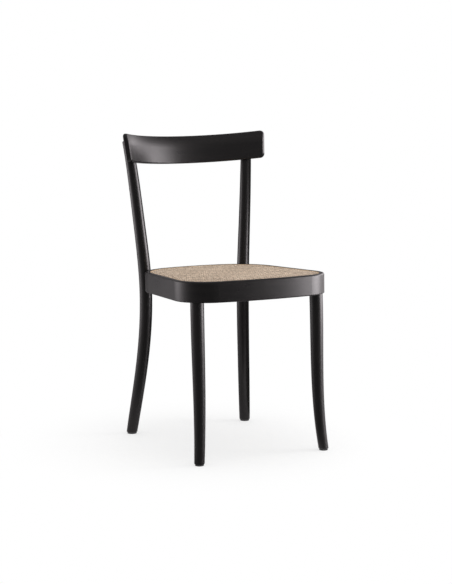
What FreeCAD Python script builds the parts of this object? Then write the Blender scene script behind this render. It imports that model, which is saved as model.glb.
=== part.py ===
"""Bentwood bistro chair with a woven cane seat: its pieces at real size, in millimetres.

The chair stands on z = 0 and faces -Y, with +X on its right. Its origin is on the floor,
under the middle of its overall width and depth.
"""
import FreeCAD, Part
import math
import os
import Sketcher
from FreeCAD import Vector

doc = FreeCAD.newDocument("bistro_chair")

# Driving dimensions in millimetres and degrees. Seat sizes lie in the seat's own plane,
# which tips back by seat_tilt about the line where the seat is seat_height off the floor.
DIMENSIONS = {
    # Seat ring: a steam-bent strip whose outline is four corner arcs joined by tangents. The
    # front and the rear bow out past their corner arcs.
    "seat_height": 460,
    "seat_tilt": 1.8,
    "ring_height": 53,
    "ring_width": 28,
    "front_corner_x": 119.6,
    "front_corner_y": 134.6,
    "front_corner_radius": 91.4,
    "front_bow": 9.7,
    "rear_corner_x": 58,
    "rear_corner_y": 65.2,
    "rear_corner_radius": 130,
    "rear_bow": 6.1,
    "ring_top_round": 4.5,
    "ring_bottom_round": 3,
    # Groove and lowered rim that hold the cane, and the reed spline that wedges it.
    "groove_inset": 13,
    "groove_width": 5.2,
    "groove_depth": 7,
    "rim_drop": 2.2,
    "cane_thickness": 2,
    "spline_gap": 0.1,
    "spline_rise": -0.4,
    "spline_round": 1.5,
    # Front legs: round, nearly straight above, sweeping forward and out towards the foot. A
    # share is a part of the leg's height, counted from the foot.
    "front_leg_angle": 38.7,
    "front_leg_inset": 21.5,
    "front_top_radius": 17.5,
    "front_high_share": 0.667,
    "front_high_radius": 16.9,
    "front_high_out": 0.1,
    "front_high_ahead": 6.3,
    "front_low_share": 0.333,
    "front_low_radius": 15.3,
    "front_low_out": 0.9,
    "front_low_ahead": 14,
    "front_foot_radius": 13.3,
    "front_foot_out": 9.1,
    "front_foot_ahead": 28.7,
    "tenon_radius": 11,
    "tenon_length": 34,
    # Rear legs: one bent piece each, from the foot past the seat to the back rail. The post's
    # middle is a share of the way up from the seat to the rail, and its top ends over the rail.
    "rear_leg_angle": 49.65,
    "rear_leg_notch": 4.5,
    "rear_leg_radius": 17,
    "rear_high_share": 0.64,
    "rear_high_radius": 16.8,
    "rear_high_out": 1.4,
    "rear_high_back": 1.5,
    "rear_low_share": 0.32,
    "rear_low_radius": 16.2,
    "rear_low_out": 12,
    "rear_low_back": 15.9,
    "rear_foot_radius": 14.8,
    "rear_foot_out": 25.9,
    "rear_foot_back": 35.9,
    "post_middle_share": 0.505,
    "post_middle_radius": 15.6,
    "post_middle_out": 14.7,
    "post_middle_back": 15.9,
    "rail_level": 317,
    "post_radius": 13.8,
    "post_out": 29.2,
    "post_back": 36.5,
    "post_top_rise": 23,
    "post_top_radius": 13.3,
    "post_top_out": 2.3,
    "post_top_back": 3.6,
    "post_top_round": 5,
    "foot_round": 2,
    # Back rail: a curved board let into the posts, hollow side to the front. It flares like
    # the posts, and its front rolls back towards its top edge.
    "rail_radius": 264,
    "rail_thickness": 15,
    "rail_height": 76,
    "rail_lean": 9.6,
    "rail_flare": 4,
    "rail_roll_height": 30,
    "rail_roll_depth": 5,
    "rail_half_width": 202.1,
    "rail_end_splay": 2.5,
    "rail_saw_allowance": 4,
    "rail_corner": 12,
    "rail_round": 4,
    "rail_notch": 4.5,
    # Corner blocks glued inside the ring over the front legs.
    "block_height": 36,
    "block_depth": 22.4,
    "glue_gap": 0.1,
    # Fastenings. A hold is how far a screw or bolt reaches into the last piece it joins.
    "bolt_radius": 3,
    "bolt_hold": 13.4,
    "bolt_head_width": 10,
    "bolt_head_height": 4,
    "bolt_level_high": 18,
    "bolt_low_rise": 15,
    "washer_radius": 6,
    "washer_thickness": 1.6,
    "spot_face_radius": 7,
    "spot_face_depth": 1,
    "insert_radius": 5,
    "insert_length": 15,
    "insert_setback": 1,
    "screw_radius": 2.2,
    "screw_head_radius": 4,
    "screw_head_height": 2.4,
    "screw_tip": 4,
    "screw_tip_radius": 0.2,
    "screw_slot": 0.9,
    "block_screw_hold": 13.6,
    "block_screw_spread": 26,
    "rail_screw_hold": 11.1,
    "rail_screw_high": 9,
    "rail_screw_low": -17,
    "plug_radius": 4.9,
    "plug_depth": 7,
    "plug_blank_length": 16,
    "fit_gap": 0.1,
    # Nailed glides under the feet.
    "glide_thickness": 4,
    "glide_margin": 2,
    "glide_round": 1,
    "nail_radius": 1.5,
    "nail_length": 18,
    "nail_head_radius": 4,
    "nail_head_height": 1.5,
    "nail_setback": 0.8,
}

# Places worked out from the driving dimensions. A name ending in _s is along the seat's
# own depth axis, and the others are in the chair's upright axes before frame_shift.
PLACES = {
    "front_edge": "dims.front_corner_y + dims.front_corner_radius + dims.front_bow",
    "rear_edge": "dims.rear_corner_y + dims.rear_corner_radius + dims.rear_bow",
    "front_leg_throw": "dims.front_corner_radius - dims.front_leg_inset",
    "front_leg_x": "dims.front_corner_x + front_leg_throw * cos(dims.front_leg_angle)",
    "front_leg_s": "-dims.front_corner_y - front_leg_throw * sin(dims.front_leg_angle)",
    "front_leg_y": "front_leg_s * cos(dims.seat_tilt) - dims.ring_height * sin(dims.seat_tilt)",
    "front_leg_z": "dims.seat_height - front_leg_s * sin(dims.seat_tilt)"
                   " - dims.ring_height * cos(dims.seat_tilt)",
    "block_chord": "dims.front_corner_radius - dims.ring_width - dims.block_depth",
    "block_screw_length": "dims.block_depth + dims.block_screw_hold",
    "block_screw_level": "dims.ring_height - dims.block_height / 2",
    "bolt_level_low": "dims.ring_height - dims.bolt_low_rise",
    "bolt_length": "dims.ring_width - dims.spot_face_depth + dims.washer_thickness"
                   " + dims.bolt_hold",
    "rear_leg_throw": "dims.rear_corner_radius + dims.rear_leg_radius - dims.rear_leg_notch",
    "rear_leg_x": "dims.rear_corner_x + rear_leg_throw * cos(dims.rear_leg_angle)",
    "rear_leg_s": "dims.rear_corner_y + rear_leg_throw * sin(dims.rear_leg_angle)",
    "rear_leg_y": "rear_leg_s * cos(dims.seat_tilt) - dims.ring_height / 2 * sin(dims.seat_tilt)",
    "rear_leg_z": "dims.seat_height - rear_leg_s * sin(dims.seat_tilt)"
                  " - dims.ring_height / 2 * cos(dims.seat_tilt)",
    "post_x": "rear_leg_x + dims.post_out",
    "post_y": "rear_leg_y + dims.post_back",
    "post_z": "dims.seat_height + dims.rail_level",
    "rail_back": "dims.rail_radius + dims.rail_thickness",
    "rail_swell": "dims.rail_height / 2 * tan(dims.rail_flare)",
    "rail_throw": "rail_back + dims.post_radius - dims.rail_notch",
    "plug_seat": "rail_throw + dims.post_radius - dims.plug_depth",
    "rail_screw_length": "plug_seat - rail_back + dims.rail_screw_hold",
    "rail_reach": "sqrt(rail_throw * rail_throw - post_x * post_x)",
    "rail_y": "post_y - rail_reach * cos(dims.rail_lean)",
    "rail_z": "post_z + rail_reach * sin(dims.rail_lean)",
    "post_heading": "acos(post_x / rail_throw) / (1 deg)",
    "edge_loss": "dims.rail_round * (cos(45 - dims.rail_lean - dims.rail_flare / 2)"
                 " / cos(45 + dims.rail_flare / 2) - 1)",
    "front_reach": "front_edge * cos(dims.seat_tilt) + dims.ring_height * sin(dims.seat_tilt)",
    "rear_reach": "rail_y + (rail_back + rail_swell) * cos(dims.rail_lean)"
                  " + dims.rail_height / 2 * sin(dims.rail_lean) - edge_loss",
    "frame_shift": "(front_reach - rear_reach) / 2",
}


def fill_sheet(name, cells, formula):
    """A sheet with one aliased cell per named value, in column B beside its name."""
    sheet = doc.addObject("Spreadsheet::Sheet", name)
    for row, (alias, value) in enumerate(cells.items(), start=1):
        sheet.set(f"A{row}", alias)
        sheet.set(f"B{row}", f"={value}" if formula else str(value))
        sheet.setAlias(f"B{row}", alias)
        doc.recompute()
    return sheet


dims = fill_sheet("dims", DIMENSIONS, False)
places = fill_sheet("places", PLACES, True)


def number(formula):
    """The value of a formula in dims and places, as a plain number."""
    value = dims.evalExpression(formula)
    return float(getattr(value, "Value", value))


# Two levels or reaches closer than this, in millimetres, count as one.
NEAR = 0.05

# Frames as placement formulas: the upright chair, the tipped seat, and the leaning rail,
# whose own z axis is the axis of its curve at half its height.
CHAIR = "placement(vector(0; places.frame_shift; 0); rotation(vector(1; 0; 0); 0))"
SEAT = ("placement(vector(0; places.frame_shift; dims.seat_height);"
        " rotation(vector(1; 0; 0); -dims.seat_tilt))")
RAIL = ("placement(vector(0; places.frame_shift + places.rail_y; places.rail_z);"
        " rotation(vector(1; 0; 0); -dims.rail_lean))")


def shift(x, y, z):
    """A move without a turn."""
    return f"placement(vector({x}; {y}; {z}); rotation(vector(0; 0; 1); 0))"


def spot(frame, x, y, z):
    """A point of a frame, with the frame's own directions."""
    return f"{frame} * {shift(x, y, z)}"


def outward(frame, x, y, z, angle, distance, sideways="0"):
    """A place whose z axis points away from (x, y, z) at an angle in the frame's x-y plane."""
    turned = f"placement(vector({x}; {y}; {z}); rotation(vector(0; 0; 1); {angle}))"
    along = f"placement(vector({distance}; {sideways}; 0); rotation(vector(0; 1; 0); 90))"
    return f"{frame} * {turned} * {along}"


def body(label, frame):
    """A new body in a frame."""
    made = doc.addObject("PartDesign::Body", label)
    made.setExpression("Placement", frame)
    return made


def plane(owner, role):
    """One of a body's own origin planes."""
    return next(item for item in owner.Origin.OriginFeatures if item.Role == role)


def sketch(owner, name, z="0", offset=None, role="XY_Plane"):
    """A sketch on an origin plane of its body, raised by z or set by a whole offset."""
    made = owner.newObject("Sketcher::SketchObject", name)
    made.AttachmentSupport = [(plane(owner, role), "")]
    made.MapMode = "FlatFace"
    made.setExpression("AttachmentOffset", offset or shift("0", "0", z))
    return made


def bind(made, constraint, name, formula):
    """Adds a dimension to a sketch and ties it to a formula."""
    index = made.addConstraint(constraint)
    made.renameConstraint(index, name)
    made.setExpression(f"Constraints.{name}", formula)


def add_circle(made, name, radius, x="0", y="0"):
    """A circle with its centre at (x, y) in the sketch, each tied to a formula."""
    centre = Vector(number(x), number(y), 0)
    circle = Part.Circle(centre, Vector(0, 0, 1), number(radius))
    index = made.addGeometry(circle, False)
    bind(made, Sketcher.Constraint("Radius", index, number(radius)), f"{name}_radius", radius)
    if x == "0" and y == "0":
        made.addConstraint(Sketcher.Constraint("Coincident", index, 3, -1, 1))
        return
    across = Sketcher.Constraint("DistanceX", -1, 1, index, 3, centre.x)
    bind(made, across, f"{name}_x", x)
    if y == "0":
        made.addConstraint(Sketcher.Constraint("PointOnObject", index, 3, -1))
        return
    along = Sketcher.Constraint("DistanceY", -1, 1, index, 3, centre.y)
    bind(made, along, f"{name}_y", y)


def end_arc_radius(middle, corner_x, corner_radius):
    """Radius of the arc that touches both corner arcs and stands middle beyond their centres."""
    return (middle**2 + corner_x**2 - corner_radius**2) / (2 * (middle - corner_radius))


def add_outline(made, name, inset):
    """The seat's outline, moved inwards by inset: four corner arcs, two straight sides and
    a shallow arc across the front and the rear, each tangent to the next."""
    inward = number(inset)
    front_x = number("dims.front_corner_x")
    front_y = -number("dims.front_corner_y")
    front_r = number("dims.front_corner_radius") - inward
    rear_x = number("dims.rear_corner_x")
    rear_y = number("dims.rear_corner_y")
    rear_r = number("dims.rear_corner_radius") - inward
    front_mid = number("places.front_edge") - inward
    rear_mid = number("places.rear_edge") - inward
    front_big = end_arc_radius(front_mid + front_y, front_x, front_r)
    rear_big = end_arc_radius(rear_mid - rear_y, rear_x, rear_r)
    front_centre = front_big - front_mid
    rear_centre = rear_mid - rear_big
    span = math.hypot(rear_x - front_x, rear_y - front_y)
    side = math.atan2(rear_y - front_y, rear_x - front_x) - math.acos((front_r - rear_r) / span)
    front_turn = math.atan2(front_y - front_centre, front_x)
    rear_turn = math.atan2(rear_y - rear_centre, rear_x)

    def arc(x, y, radius, start, stop):
        circle = Part.Circle(Vector(x, y, 0), Vector(0, 0, 1), radius)
        return Part.ArcOfCircle(circle, start, stop)

    def tangent_point(x, y, radius):
        return Vector(x + radius * math.cos(side), y + radius * math.sin(side), 0)

    right_low = tangent_point(front_x, front_y, front_r)
    right_high = tangent_point(rear_x, rear_y, rear_r)
    left_low = Vector(-right_low.x, right_low.y, 0)
    left_high = Vector(-right_high.x, right_high.y, 0)
    half = math.pi
    pieces = [
        arc(0, front_centre, front_big, -half - front_turn, front_turn),
        arc(front_x, front_y, front_r, front_turn, side),
        Part.LineSegment(right_low, right_high),
        arc(rear_x, rear_y, rear_r, side, rear_turn),
        arc(0, rear_centre, rear_big, rear_turn, half - rear_turn),
        arc(-rear_x, rear_y, rear_r, half - rear_turn, half - side),
        Part.LineSegment(left_high, left_low),
        arc(-front_x, front_y, front_r, half - side, half - front_turn),
    ]
    first = len(made.Geometry)
    made.addGeometry(pieces, False)
    count = len(pieces)
    for step in range(count):
        joined = first + (step + 1) % count
        made.addConstraint(Sketcher.Constraint("Tangent", first + step, 2, joined, 1))
    front, rear = first + 1, first + 3
    left_front, left_rear = first + 7, first + 5
    for right, left in ((front, left_front), (rear, left_rear)):
        made.addConstraint(Sketcher.Constraint("Symmetric", right, 3, left, 3, -2))
        made.addConstraint(Sketcher.Constraint("Equal", right, left))
    bind(made, Sketcher.Constraint("DistanceX", -1, 1, front, 3, front_x),
         f"{name}_front_x", "dims.front_corner_x")
    bind(made, Sketcher.Constraint("DistanceY", front, 3, -1, 1, -front_y),
         f"{name}_front_y", "dims.front_corner_y")
    bind(made, Sketcher.Constraint("Radius", front, front_r),
         f"{name}_front_r", f"dims.front_corner_radius - ({inset})")
    bind(made, Sketcher.Constraint("DistanceX", -1, 1, rear, 3, rear_x),
         f"{name}_rear_x", "dims.rear_corner_x")
    bind(made, Sketcher.Constraint("DistanceY", -1, 1, rear, 3, rear_y),
         f"{name}_rear_y", "dims.rear_corner_y")
    bind(made, Sketcher.Constraint("Radius", rear, rear_r),
         f"{name}_rear_r", f"dims.rear_corner_radius - ({inset})")
    front_point = made.addGeometry(Part.Point(Vector(0, -front_mid, 0)), True)
    rear_point = made.addGeometry(Part.Point(Vector(0, rear_mid, 0)), True)
    for point, edge in ((front_point, first), (rear_point, first + 4)):
        made.addConstraint(Sketcher.Constraint("PointOnObject", point, 1, -2))
        made.addConstraint(Sketcher.Constraint("PointOnObject", point, 1, edge))
    bind(made, Sketcher.Constraint("DistanceY", front_point, 1, -1, 1, front_mid),
         f"{name}_front_edge", f"places.front_edge - ({inset})")
    bind(made, Sketcher.Constraint("DistanceY", -1, 1, rear_point, 1, rear_mid),
         f"{name}_rear_edge", f"places.rear_edge - ({inset})")


def pad(owner, profile, length, reverse=False):
    """Builds a sketch up along its normal, or down when reversed."""
    made = owner.newObject("PartDesign::Pad", "Pad")
    made.Profile = profile
    made.Reversed = reverse
    made.setExpression("Length", length)
    doc.recompute()
    return made


def pocket(owner, profile, length, reverse=False):
    """Cuts a sketch down from its plane, or up when reversed, and makes sure that it cuts."""
    before = owner.Shape.Volume
    made = owner.newObject("PartDesign::Pocket", "Pocket")
    made.Profile = profile
    made.Reversed = reverse
    made.setExpression("Length", length)
    doc.recompute()
    if not made.Shape.Volume < before - NEAR:
        raise RuntimeError(f"{owner.Label}: {profile.Label} cuts nothing")
    return made


def fillet(owner, radius, chosen):
    """Rounds the edges of a body that a test picks out."""
    base = owner.Tip
    names = [f"Edge{i}" for i, edge in enumerate(base.Shape.Edges, start=1) if chosen(edge)]
    made = owner.newObject("PartDesign::Fillet", "Fillet")
    made.Base = (base, names)
    made.setExpression("Radius", radius)
    doc.recompute()
    return made


def level(height):
    """A test for edges that lie flat at a height of the body's own frame."""
    return lambda edge: all(abs(vertex.Z - height) < NEAR for vertex in edge.Vertexes)


def primitive(kind, name, place, **sizes):
    """A Part primitive whose sizes and place are tied to formulas."""
    made = doc.addObject(kind, name)
    for size, formula in sizes.items():
        made.setExpression(size, formula)
    made.setExpression("Placement", place)
    return made


def cylinder(name, place, radius, height):
    return primitive("Part::Cylinder", name, place, Radius=radius, Height=height)


def join(kind, label, items):
    """A fuse or a compound of several objects."""
    made = doc.addObject(kind, label)
    setattr(made, "Links" if kind == "Part::Compound" else "Shapes", items)
    return made


def cut(label, base, tools):
    """A base less all its tools."""
    made = doc.addObject("Part::Cut", label)
    made.Base = base
    made.Tool = tools[0] if len(tools) == 1 else join("Part::MultiFuse", f"{label}_tools", tools)
    return made


SIDES = {"left": -1, "right": 1}


def mirrored(side, formula):
    """A distance across the chair, towards one side."""
    return f"{SIDES[side]} * ({formula})"


def heading(side, angle):
    """An angle from +X, turned over to the left side where needed."""
    return angle if side == "right" else f"180 - ({angle})"


nodes = []

# Seat ring
seat_ring = body("seat_ring", SEAT)
ring_outline = sketch(seat_ring, "ring_outline")
add_outline(ring_outline, "outer", "0")
pad(seat_ring, ring_outline, "dims.ring_height", reverse=True)
fillet(seat_ring, "dims.ring_top_round", level(0))
fillet(seat_ring, "dims.ring_bottom_round", level(-number("dims.ring_height")))
ring_opening = sketch(seat_ring, "ring_opening")
add_outline(ring_opening, "inner", "dims.ring_width")
pocket(seat_ring, ring_opening, "dims.ring_height")
groove = sketch(seat_ring, "groove")
add_outline(groove, "outer", "dims.groove_inset")
add_outline(groove, "inner", "dims.groove_inset + dims.groove_width")
pocket(seat_ring, groove, "dims.groove_depth")
rim = sketch(seat_ring, "rim")
add_outline(rim, "outer", "dims.groove_inset + dims.groove_width / 2")
add_outline(rim, "inner", "dims.ring_width + dims.fit_gap")
pocket(seat_ring, rim, "dims.rim_drop")

# Holes in the ring: the front legs' tenons from below, and the rear legs' bolts and the
# corner blocks' screws from inside.


def ring_face(owner, name, side, corner, angle, level_formula):
    """A sketch square to a corner's radius, at the corner arc's centre and looking outwards."""
    across = mirrored(side, f"dims.{corner}_corner_x")
    along = "dims.rear_corner_y" if corner == "rear" else "-dims.front_corner_y"
    offset = (f"placement(vector({along}; {level_formula}; {across});"
              f" rotation(vector(0; 1; 0); {heading(side, angle)}))")
    return sketch(owner, name, offset=offset, role="YZ_Plane")


for side in SIDES:
    tenon_hole = sketch(seat_ring, f"tenon_hole_{side}", "-dims.ring_height")
    add_circle(tenon_hole, "hole", "dims.tenon_radius + dims.fit_gap",
               mirrored(side, "places.front_leg_x"), "places.front_leg_s")
    pocket(seat_ring, tenon_hole, "dims.tenon_length + dims.fit_gap", reverse=True)
    for bolt, depth in (("high", "dims.bolt_level_high"), ("low", "places.bolt_level_low")):
        hole = ring_face(seat_ring, f"bolt_hole_{bolt}_{side}", side, "rear",
                         "dims.rear_leg_angle", f"-{depth}")
        add_circle(hole, "hole", "dims.bolt_radius + 2 * dims.fit_gap")
        pocket(seat_ring, hole, "dims.rear_corner_radius + dims.ring_width", reverse=True)
        seat = ring_face(seat_ring, f"spot_face_{bolt}_{side}", side, "rear",
                         "dims.rear_leg_angle", f"-{depth}")
        add_circle(seat, "face", "dims.spot_face_radius")
        pocket(seat_ring, seat,
               "dims.rear_corner_radius - dims.ring_width + dims.spot_face_depth", reverse=True)
    for turn in ("-1", "1"):
        pilot = ring_face(seat_ring, f"screw_hole_{side}", side, "front",
                          "-dims.front_leg_angle", "-places.block_screw_level")
        add_circle(pilot, "hole", "dims.screw_radius + dims.fit_gap",
                   f"{turn} * dims.block_screw_spread")
        pocket(seat_ring, pilot, "places.block_chord + places.block_screw_length + dims.fit_gap",
               reverse=True)
nodes.append(seat_ring)

# Cane panel: the woven sheet, plain here, lying on the lowered rim inside the spline.
cane_panel = body("cane_panel", SEAT)
cane_outline = sketch(cane_panel, "cane_outline", "-dims.rim_drop")
CANE_INSET = "dims.groove_inset + dims.groove_width + dims.spline_gap"
add_outline(cane_outline, "edge", CANE_INSET)
pad(cane_panel, cane_outline, "dims.cane_thickness")
nodes.append(cane_panel)

# Cane spline: a reed driven into the groove over the edge of the cane.
cane_spline = body("cane_spline", SEAT)
spline_outline = sketch(cane_spline, "spline_outline", "-dims.groove_depth + dims.spline_gap")
add_outline(spline_outline, "outer", "dims.groove_inset + dims.spline_gap")
add_outline(spline_outline, "inner", "dims.groove_inset + dims.groove_width - dims.spline_gap")
pad(cane_spline, spline_outline, "dims.groove_depth - dims.spline_gap + dims.spline_rise")
fillet(cane_spline, "dims.spline_round", level(number("dims.spline_rise")))
nodes.append(cane_spline)


def round_leg(label, stations):
    """A round leg lofted through circles. Each station is a name, a centre, a radius and
    whether its circle lies in the tipped seat's plane and not level."""
    leg = body(label, CHAIR)
    circles = []
    for name, x, y, z, radius, tipped in stations:
        tip = "-dims.seat_tilt" if tipped else "0"
        offset = f"placement(vector({x}; {y}; {z}); rotation(vector(1; 0; 0); {tip}))"
        circle = sketch(leg, f"{label}_{name}", offset=offset)
        add_circle(circle, "leg", radius)
        circles.append(circle)
    loft = leg.newObject("PartDesign::AdditiveLoft", f"{label}_loft")
    loft.Profile = circles[0]
    loft.Sections = circles[1:]
    loft.Ruled = False
    doc.recompute()
    return leg


def round_end(leg, name, x, y, z, radius, rounding, up):
    """A flat end with a rounded rim, turned about the leg's centre. Its flat lies at z and it
    grows from there into the leg: up from a foot, down from a top."""
    profile = sketch(leg, name, role="XZ_Plane", offset=shift(x, z, f"-({y})"))
    sign = 1 if up else -1
    flat, rim = number(f"{radius} - {rounding}"), number(rounding)
    centre = Vector(flat, sign * rim, 0)
    circle = Part.Circle(centre, Vector(0, 0, 1), rim)
    quarter = (-math.pi / 2, 0) if up else (0, math.pi / 2)
    start, stop = (1, 2) if up else (2, 1)
    profile.addGeometry([
        Part.LineSegment(Vector(0, 0, 0), Vector(flat, 0, 0)),
        Part.ArcOfCircle(circle, *quarter),
        Part.LineSegment(Vector(flat + rim, sign * rim, 0), Vector(0, sign * rim, 0)),
        Part.LineSegment(Vector(0, sign * rim, 0), Vector(0, 0, 0)),
    ], False)
    add = profile.addConstraint
    add(Sketcher.Constraint("Coincident", 0, 1, -1, 1))
    add(Sketcher.Constraint("Coincident", 0, 2, 1, start))
    add(Sketcher.Constraint("Coincident", 1, stop, 2, 1))
    add(Sketcher.Constraint("Coincident", 2, 2, 3, 1))
    add(Sketcher.Constraint("Coincident", 3, 2, 0, 1))
    add(Sketcher.Constraint("Horizontal", 0))
    add(Sketcher.Constraint("Horizontal", 2))
    add(Sketcher.Constraint("Vertical", 3))
    add(Sketcher.Constraint("Vertical", 1, 3, 1, start))
    bind(profile, Sketcher.Constraint("Radius", 1, rim), "rim", rounding)
    bind(profile, Sketcher.Constraint("DistanceX", -1, 1, 0, 2, flat), "flat",
         f"{radius} - {rounding}")
    end = leg.newObject("PartDesign::Revolution", f"{name}_turned")
    end.Profile = profile
    end.ReferenceAxis = (profile, ["V_Axis"])
    doc.recompute()


def nail_hole(label, place):
    """The hole in a foot for its glide's nail."""
    length = "dims.nail_length + dims.fit_gap"
    return cylinder(label, place, "dims.nail_radius + dims.fit_gap", length)


# Front legs: turned and bent beech, each with a round tenon up into the ring.
GROUND = "dims.glide_thickness"
ANKLE = f"({GROUND} + dims.foot_round)"
feet = {}
for side in SIDES:
    leg_x = mirrored(side, "places.front_leg_x")
    foot_x = mirrored(side, "places.front_leg_x + dims.front_foot_out")
    foot_y = "places.front_leg_y - dims.front_foot_ahead"
    rise = f"(places.front_leg_z - {ANKLE})"
    stations = [
        ("foot", foot_x, foot_y, ANKLE, "dims.front_foot_radius", False),
        ("low", mirrored(side, "places.front_leg_x + dims.front_low_out"),
         "places.front_leg_y - dims.front_low_ahead", f"{ANKLE} + {rise} * dims.front_low_share",
         "dims.front_low_radius", False),
        ("high", mirrored(side, "places.front_leg_x + dims.front_high_out"),
         "places.front_leg_y - dims.front_high_ahead", f"{ANKLE} + {rise} * dims.front_high_share",
         "dims.front_high_radius", False),
        ("top", leg_x, "places.front_leg_y", "places.front_leg_z",
         "dims.front_top_radius", True),
    ]
    blank = round_leg(f"front_leg_{side}_blank", stations)
    round_end(blank, f"front_foot_end_{side}", foot_x, foot_y, GROUND,
              "dims.front_foot_radius", "dims.foot_round", True)
    tenon = sketch(blank, f"tenon_{side}", offset=(
        f"placement(vector({leg_x}; places.front_leg_y; places.front_leg_z);"
        " rotation(vector(1; 0; 0); -dims.seat_tilt))"))
    add_circle(tenon, "tenon", "dims.tenon_radius")
    pad(blank, tenon, "dims.tenon_length")
    feet[f"front_{side}"] = (foot_x, foot_y, "dims.front_foot_radius")
    screw_hole = cylinder(
        f"tenon_screw_hole_{side}",
        outward(SEAT, mirrored(side, "dims.front_corner_x"), "-dims.front_corner_y",
                "-places.block_screw_level", heading(side, "-dims.front_leg_angle"),
                "places.block_chord"),
        "dims.screw_radius + dims.fit_gap", "places.block_screw_length + dims.fit_gap")
    nail = nail_hole(f"front_nail_hole_{side}", spot(CHAIR, foot_x, foot_y, GROUND))
    nodes.append(cut(f"front_leg_{side}", blank, [screw_hole, nail]))

# Rear legs: one long bent piece each, notched where the ring and the back rail are let in.
for side in SIDES:
    def beside(outwards, side=side):
        return mirrored(side, f"places.rear_leg_x + {outwards}")

    def behind(back):
        return f"places.rear_leg_y + {back}"

    rise = f"(places.rear_leg_z - {ANKLE})"
    shoulder = "places.post_z + dims.post_top_rise"
    stations = [
        ("foot", beside("dims.rear_foot_out"), behind("dims.rear_foot_back"), ANKLE,
         "dims.rear_foot_radius", False),
        ("low", beside("dims.rear_low_out"), behind("dims.rear_low_back"),
         f"{ANKLE} + {rise} * dims.rear_low_share", "dims.rear_low_radius", False),
        ("high", beside("dims.rear_high_out"), behind("dims.rear_high_back"),
         f"{ANKLE} + {rise} * dims.rear_high_share", "dims.rear_high_radius", False),
        ("joint", beside("0"), behind("0"), "places.rear_leg_z", "dims.rear_leg_radius", False),
        ("middle", beside("dims.post_middle_out"), behind("dims.post_middle_back"),
         "dims.seat_height + dims.rail_level * dims.post_middle_share",
         "dims.post_middle_radius", False),
        ("rail", beside("dims.post_out"), behind("dims.post_back"), "places.post_z",
         "dims.post_radius", False),
        ("top", beside("dims.post_out + dims.post_top_out"),
         behind("dims.post_back + dims.post_top_back"),
         f"{shoulder} - dims.post_top_round", "dims.post_top_radius", False),
    ]
    blank = round_leg(f"rear_leg_{side}_blank", stations)
    round_end(blank, f"rear_foot_end_{side}", stations[0][1], stations[0][2], GROUND,
              "dims.rear_foot_radius", "dims.foot_round", True)
    round_end(blank, f"post_end_{side}", stations[-1][1], stations[-1][2], shoulder,
              "dims.post_top_radius", "dims.post_top_round", False)
    feet[f"rear_{side}"] = (stations[0][1], stations[0][2], "dims.rear_foot_radius")
    corner_x = mirrored(side, "dims.rear_corner_x")
    corner_angle = heading(side, "dims.rear_leg_angle")
    ring_notch = cylinder(
        f"ring_notch_{side}",
        spot(SEAT, corner_x, "dims.rear_corner_y", "-dims.ring_height - dims.fit_gap"),
        "dims.rear_corner_radius + dims.fit_gap", "dims.ring_height + 2 * dims.fit_gap")
    overlap = "(dims.rail_height / 2 + dims.fit_gap)"
    rail_notch = primitive(
        "Part::Cone", f"rail_notch_{side}", spot(RAIL, "0", "0", f"-{overlap}"),
        Radius1=f"places.rail_back + dims.fit_gap - {overlap} * tan(dims.rail_flare)",
        Radius2=f"places.rail_back + dims.fit_gap + {overlap} * tan(dims.rail_flare)",
        Height=f"2 * {overlap}")
    tools = [ring_notch, rail_notch]
    for depth in ("dims.bolt_level_high", "places.bolt_level_low"):
        tools.append(cylinder(
            f"insert_hole_{side}",
            outward(SEAT, corner_x, "dims.rear_corner_y", f"-{depth}", corner_angle,
                    "dims.rear_corner_radius"),
            "dims.insert_radius + dims.fit_gap",
            "dims.insert_setback + dims.insert_length + dims.fit_gap"))
    rail_angle = heading(side, "places.post_heading")
    for height in ("dims.rail_screw_high", "dims.rail_screw_low"):
        tools.append(cylinder(
            f"rail_screw_hole_{side}",
            outward(RAIL, "0", "0", height, rail_angle, "places.rail_back - places.rail_swell"),
            "dims.screw_radius + dims.fit_gap", "2 * dims.post_radius"))
        tools.append(cylinder(
            f"plug_hole_{side}",
            outward(RAIL, "0", "0", height, rail_angle, "places.plug_seat"),
            "dims.plug_radius + dims.fit_gap", "dims.plug_blank_length"))
    tools.append(nail_hole(f"rear_nail_hole_{side}",
                           spot(CHAIR, stations[0][1], stations[0][2], GROUND)))
    nodes.append(cut(f"rear_leg_{side}", blank, tools))

# Back rail: steam-bent board, its ends sawn square to its curve, a little longer at the top.
ROLL_LEVEL = "dims.rail_height / 2 - dims.rail_roll_height"
ROLL_REACH = f"dims.rail_radius + ({ROLL_LEVEL}) * tan(dims.rail_flare)"
ROLL_END = "dims.rail_radius + places.rail_swell + dims.rail_roll_depth"
SPREAD = "asin(dims.rail_half_width / dims.rail_radius) / (1 deg)"
TRIM_LEAN = "dims.rail_height * tan(dims.rail_end_splay)"
rail_blank = body("back_rail_blank", RAIL)


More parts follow.
